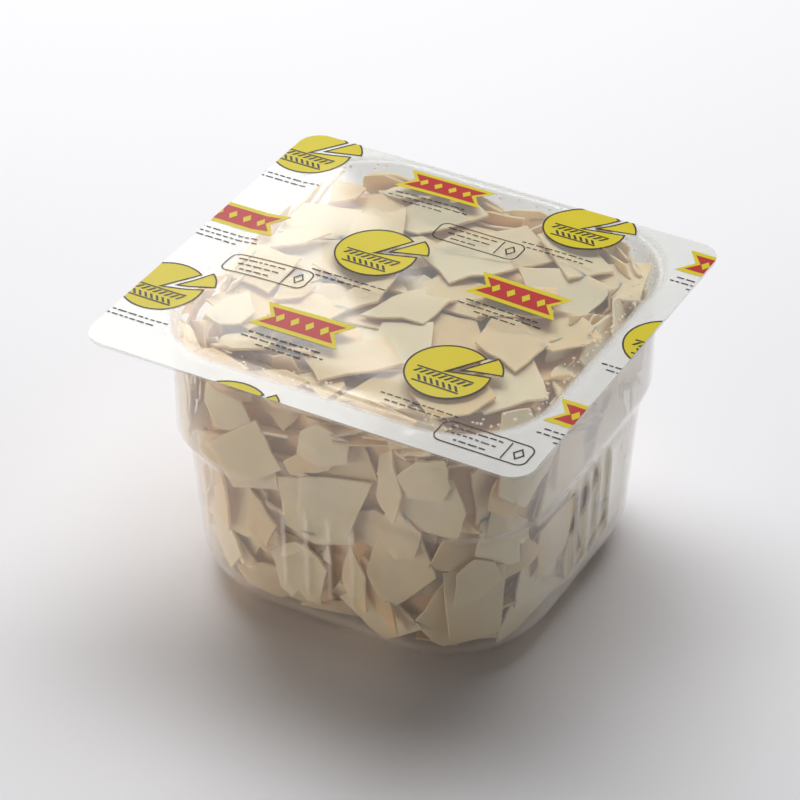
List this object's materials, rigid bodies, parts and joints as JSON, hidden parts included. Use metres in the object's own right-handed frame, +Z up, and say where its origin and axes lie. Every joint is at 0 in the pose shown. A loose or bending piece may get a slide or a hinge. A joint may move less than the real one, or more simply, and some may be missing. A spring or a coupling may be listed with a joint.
{
  "type": "pack of cheese flakes",
  "caption": "Clear square-shouldered plastic tub with a wide flange and a printed clear top film, filled with flat flakes of hard cheese.",
  "frame": {"origin": "on the surface the tub stands on, under the middle of its flange", "axes": "+X along the wider side of the flange, +Y to the back, +Z up"},
  "size_m": [0.175, 0.161, 0.1185],
  "materials": {
    "tub_plastic": "clear thermoformed sheet, glossy",
    "hard_cheese": "ivory hard cheese, matt with a slight waxy sheen",
    "top_film": "clear glossy film",
    "print_yellow": "flexo ink under gloss",
    "print_red": "flexo ink under gloss",
    "print_dark": "flexo ink under gloss"
  },
  "bodies": {
    "root": {"tray": "tub_plastic", "cheese_flakes": "hard_cheese", "lid_film": "top_film"}
  },
  "joints": []
}
